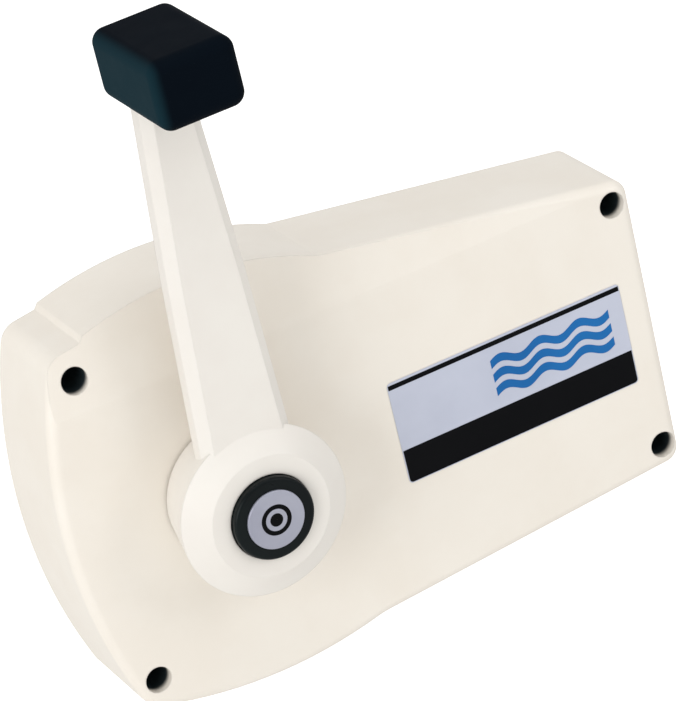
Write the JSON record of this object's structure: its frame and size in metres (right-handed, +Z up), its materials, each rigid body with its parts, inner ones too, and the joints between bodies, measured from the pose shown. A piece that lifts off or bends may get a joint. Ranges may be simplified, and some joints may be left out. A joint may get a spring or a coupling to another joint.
{
  "type": "boat throttle control lever",
  "caption": "Side-mount boat engine control: a bevelled lever with a square hand knob swings on a hub in a flat cream housing, works shift and throttle cable cranks, and has a push button.",
  "frame": {"origin": "on the mounting face, on the lever's axis", "axes": "+Z up the lever in neutral, +X along the housing from nose to tail, +Y into the boat's side; the lever's hub, button and knob face -Y"},
  "size_m": [0.2327, 0.099, 0.2554],
  "materials": {
    "housing_cream": "satin cream paint",
    "lever_cream": "satin cream paint",
    "grip_navy": "satin, near-black navy",
    "button_black": "gloss black",
    "disc_silver": "satin silver",
    "label_lilac": "printed film",
    "moulded_black": "moulded black nylon",
    "bearing_nylon": "natural acetal",
    "seal_rubber": "matte",
    "shaft_steel": "machined",
    "spring_steel": "oiled",
    "steel_zinc": "zinc plated",
    "brass_insert": "machined",
    "connector_zinc": "zinc plated"
  },
  "bodies": {
    "base": {"front_housing": "housing_cream", "back_plate": "moulded_black", "plate_screws": "steel_zinc", "front_bushing": "bearing_nylon", "rear_bushing": "bearing_nylon", "shaft_seal": "seal_rubber", "detent_spring": "spring_steel", "detent_screws": "steel_zinc", "cable_clamps": "moulded_black", "clamp_screws": "steel_zinc", "side_label": "label_lilac"},
    "lever": {"lever_arm": "lever_cream", "hub_set_screw": "steel_zinc", "grip_knob": "grip_navy", "knob_insert": "brass_insert", "knob_screw": "steel_zinc", "main_shaft": "shaft_steel", "thrust_washer": "bearing_nylon", "crank_plate": "shaft_steel", "crank_key": "shaft_steel", "shaft_circlip": "spring_steel", "shift_pin": "shaft_steel", "throttle_pin": "shaft_steel", "pin_clips": "spring_steel", "button_spring": "spring_steel"},
    "button": {"button_cap": "button_black", "button_disc": "disc_silver", "push_rod": "moulded_black", "rod_clip": "spring_steel"},
    "shift_end": {"shift_connector": "connector_zinc"},
    "throttle_end": {"throttle_connector": "connector_zinc"}
  },
  "joints": [
    {"name": "lever_swing", "type": "hinge", "parent": "base", "child": "lever", "pos_m": [0, 0, 0], "axis": [0, -1, 0], "range_deg": [-66, 88], "deforming": ["detent_spring"]},
    {"name": "button_press", "type": "slide", "parent": "lever", "child": "button", "axis": [0, 1, 0], "range_m": [0, 0.003], "stiffness_N_per_m": 600, "springref_m": -0.004, "deforming": ["button_spring"]},
    {"name": "shift_terminal_swivel", "type": "hinge", "parent": "lever", "child": "shift_end", "pos_m": [0, -0.027, -0.038], "axis": [0, -1, 0], "range_deg": [-88, 66]},
    {"name": "throttle_terminal_swivel", "type": "hinge", "parent": "lever", "child": "throttle_end", "pos_m": [0.03, -0.013, 0], "axis": [0, -1, 0], "range_deg": [-88, 66]}
  ],
  "couplings": [
    {"joint": "shift_terminal_swivel", "follows": "lever_swing", "ratio": -1},
    {"joint": "throttle_terminal_swivel", "follows": "lever_swing", "ratio": -1}
  ]
}
